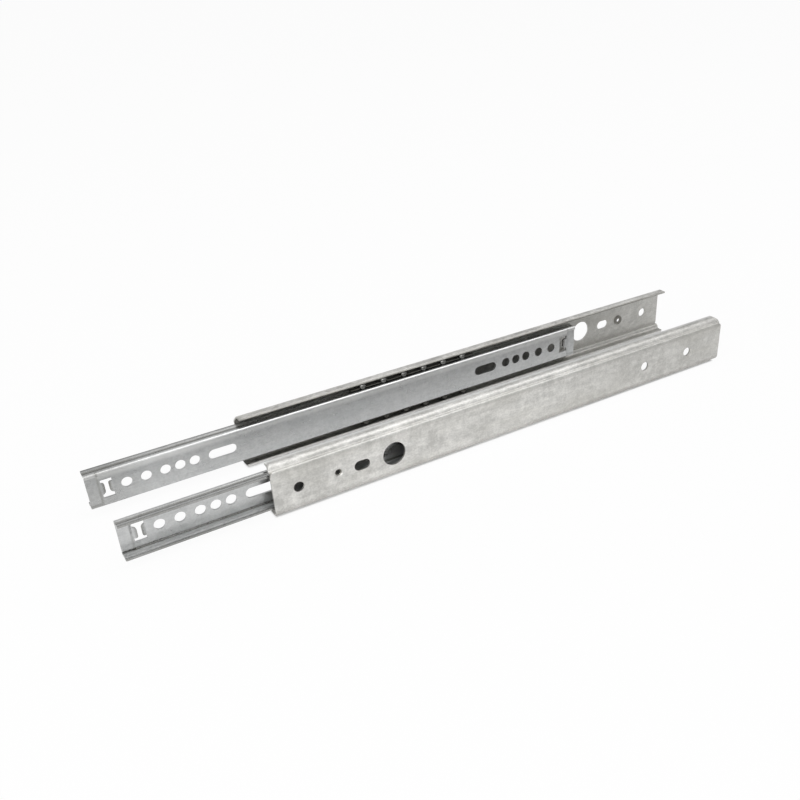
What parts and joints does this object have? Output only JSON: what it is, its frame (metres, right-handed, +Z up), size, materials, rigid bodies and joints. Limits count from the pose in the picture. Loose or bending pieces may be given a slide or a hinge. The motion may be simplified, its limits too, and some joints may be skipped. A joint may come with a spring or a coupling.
{
  "type": "drawer slide pair",
  "caption": "Pair of steel ball-bearing drawer slides: lipped cabinet channels in which drawer channels run out on caged balls, with screw holes and slots.",
  "frame": {"origin": "middle of the pair's box, at the underside on which both slides stand", "axes": "+X along the slides towards the rear, +Y from the right slide to the left one, +Z up"},
  "size_m": [0.3516, 0.059, 0.027],
  "materials": {
    "cabinet_zinc": "galvanised, dull, faintly cloudy",
    "drawer_zinc": "bright zinc plated, bluish, satin",
    "retainer_steel": "thin pressed steel, oiled",
    "ball_steel": "polished bearing steel"
  },
  "bodies": {
    "cabinet": {"right_cabinet_member": "cabinet_zinc", "left_cabinet_member": "cabinet_zinc"},
    "right_drawer": {"right_drawer_member": "drawer_zinc"},
    "right_retainer": {"right_ball_retainer": "retainer_steel", "right_upper_ball_1": "ball_steel", "right_upper_ball_2": "ball_steel", "right_upper_ball_3": "ball_steel", "right_upper_ball_4": "ball_steel", "right_upper_ball_5": "ball_steel", "right_upper_ball_6": "ball_steel", "right_lower_ball_1": "ball_steel", "right_lower_ball_2": "ball_steel", "right_lower_ball_3": "ball_steel", "right_lower_ball_4": "ball_steel", "right_lower_ball_5": "ball_steel", "right_lower_ball_6": "ball_steel"},
    "left_drawer": {"left_drawer_member": "drawer_zinc"},
    "left_retainer": {"left_ball_retainer": "retainer_steel", "left_upper_ball_1": "ball_steel", "left_upper_ball_2": "ball_steel", "left_upper_ball_3": "ball_steel", "left_upper_ball_4": "ball_steel", "left_upper_ball_5": "ball_steel", "left_upper_ball_6": "ball_steel", "left_lower_ball_1": "ball_steel", "left_lower_ball_2": "ball_steel", "left_lower_ball_3": "ball_steel", "left_lower_ball_4": "ball_steel", "left_lower_ball_5": "ball_steel", "left_lower_ball_6": "ball_steel"}
  },
  "joints": [
    {"name": "right_drawer_slide", "type": "slide", "parent": "cabinet", "child": "right_drawer", "axis": [-1, 0, 0], "range_m": [-0.0648, 0.1212]},
    {"name": "right_retainer_slide", "type": "slide", "parent": "cabinet", "child": "right_retainer", "axis": [-1, 0, 0], "range_m": [-0.03241, 0.06061]},
    {"name": "left_drawer_slide", "type": "slide", "parent": "cabinet", "child": "left_drawer", "axis": [-1, 0, 0], "range_m": [-0.0726, 0.1134]},
    {"name": "left_retainer_slide", "type": "slide", "parent": "cabinet", "child": "left_retainer", "axis": [-1, 0, 0], "range_m": [-0.03631, 0.05671]}
  ],
  "couplings": [
    {"joint": "right_retainer_slide", "follows": "right_drawer_slide", "ratio": 0.5},
    {"joint": "left_retainer_slide", "follows": "left_drawer_slide", "ratio": 0.5}
  ]
}
